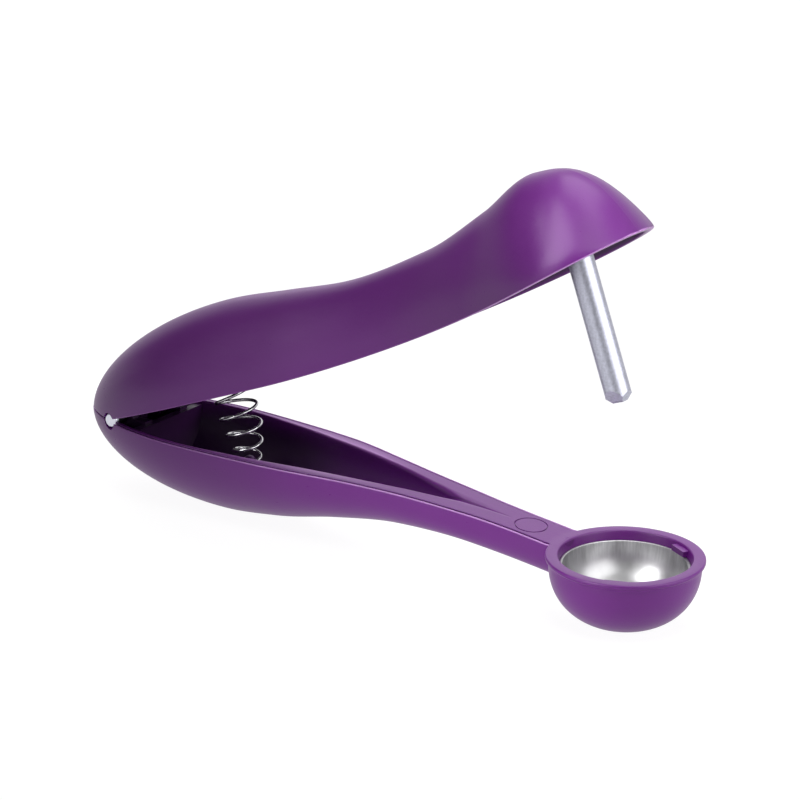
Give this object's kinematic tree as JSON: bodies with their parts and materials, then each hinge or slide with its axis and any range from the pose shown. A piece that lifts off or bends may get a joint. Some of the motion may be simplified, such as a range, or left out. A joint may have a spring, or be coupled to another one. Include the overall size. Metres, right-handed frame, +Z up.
{
  "type": "cherry pitter",
  "caption": "Hand-held cherry pitter: two hollow moulded levers hinged at the rear and sprung open, a steel pin under the domed head and a steel-lined cup with a pit hole.",
  "frame": {"origin": "centre of the outline on the table, with the levers open", "axes": "+X from the hinge towards the cup, +Z up along the cup's axis, Y across the levers"},
  "size_m": [0.172, 0.036, 0.1016],
  "materials": {
    "purple_plastic": "satin moulded, fine grain",
    "liner_steel": "bright pressed stainless",
    "rod_steel": "matt ground",
    "spring_steel": "bright drawn wire"
  },
  "bodies": {
    "base": {"lower_lever": "purple_plastic", "cup_liner": "liner_steel", "hinge_pin": "rod_steel", "return_spring": "spring_steel"},
    "upper": {"upper_lever": "purple_plastic", "pitting_pin": "rod_steel"}
  },
  "joints": [
    {"name": "squeeze", "type": "hinge", "parent": "base", "child": "upper", "pos_m": [-0.07304, 0, 0.01732], "axis": [0, 1, 0], "range_deg": [0, 21.2], "stiffness_Nm_per_rad": 0.72, "springref_deg": -6.88, "deforming": ["return_spring"]}
  ]
}
